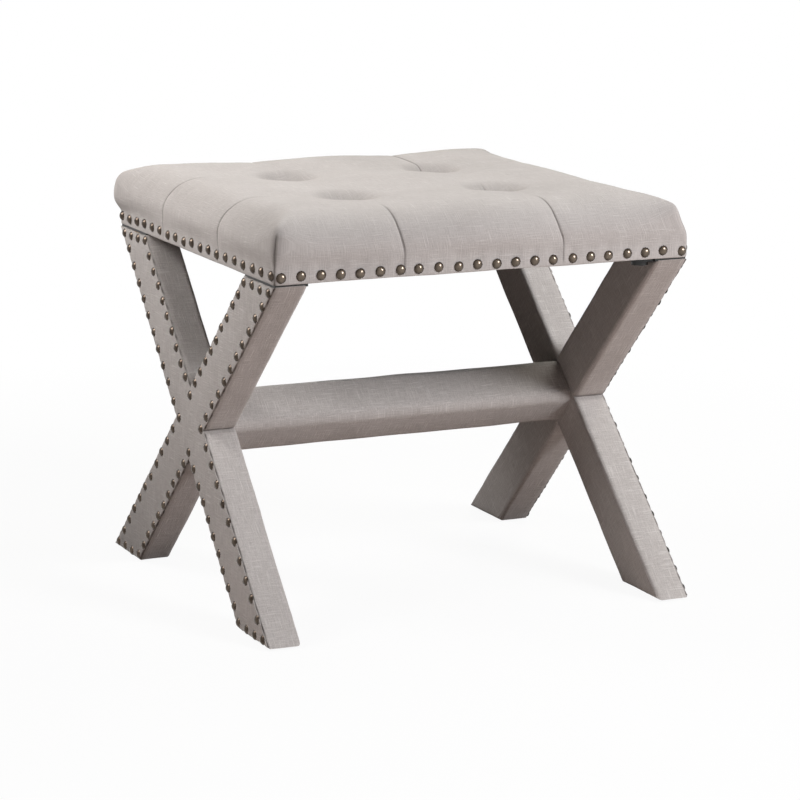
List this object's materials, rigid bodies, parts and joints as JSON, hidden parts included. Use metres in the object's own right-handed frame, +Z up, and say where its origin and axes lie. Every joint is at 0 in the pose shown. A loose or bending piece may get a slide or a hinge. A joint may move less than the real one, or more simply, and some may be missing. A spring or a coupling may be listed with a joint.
{
  "type": "upholstered bench",
  "caption": "Low square bench with a tufted, nail-trimmed linen seat on two fabric-covered X frames tied by a diamond-section stretcher.",
  "frame": {"origin": "on the floor, under the middle of the seat", "axes": "+X along the stretcher from the left X frame to the right one, +Y from front to back, +Z up"},
  "size_m": [0.5106, 0.4724, 0.4571],
  "materials": {
    "linen": "warm light grey slub linen",
    "foam": "open-cell polyurethane foam",
    "black_cambric": "thin black non-woven cloth",
    "twine": "waxed tufting twine",
    "hardwood": "bare sawn hardwood",
    "plywood": "bare plywood",
    "antique_brass": "darkened brass, rubbed lighter on the crowns",
    "black_steel": "black satin paint",
    "zinc_steel": "zinc plated",
    "nylon": "dark brown nylon"
  },
  "bodies": {
    "root": {"dust_cover": "black_cambric", "left_face_nails": "antique_brass", "left_face_panel": "linen", "left_frame_wrap": "linen", "left_front_glide": "nylon", "left_front_top_plate": "black_steel", "left_leg_front_top": "hardwood", "left_leg_rear_top": "hardwood", "left_rear_glide": "nylon", "left_rear_top_plate": "black_steel", "plate_screws": "zinc_steel", "right_face_nails": "antique_brass", "right_face_panel": "linen", "right_frame_wrap": "linen", "right_front_glide": "nylon", "right_front_top_plate": "black_steel", "right_leg_front_top": "hardwood", "right_leg_rear_top": "hardwood", "right_rear_glide": "nylon", "right_rear_top_plate": "black_steel", "seat_bolt_washers": "black_steel", "seat_bolts": "black_steel", "seat_cover": "linen", "seat_deck": "plywood", "seat_foam": "foam", "seat_front_nails": "antique_brass", "seat_front_rail": "hardwood", "seat_left_nails": "antique_brass", "seat_left_rail": "hardwood", "seat_rail_dowels": "hardwood", "seat_rear_nails": "antique_brass", "seat_rear_rail": "hardwood", "seat_right_nails": "antique_brass", "seat_right_rail": "hardwood", "stretcher_core": "hardwood", "stretcher_cover": "linen", "stretcher_dowels": "hardwood", "stretcher_screws": "zinc_steel", "t_nuts": "zinc_steel", "tuft_anchors": "zinc_steel", "tuft_buttons": "linen", "tuft_twines": "twine"}
  },
  "joints": []
}
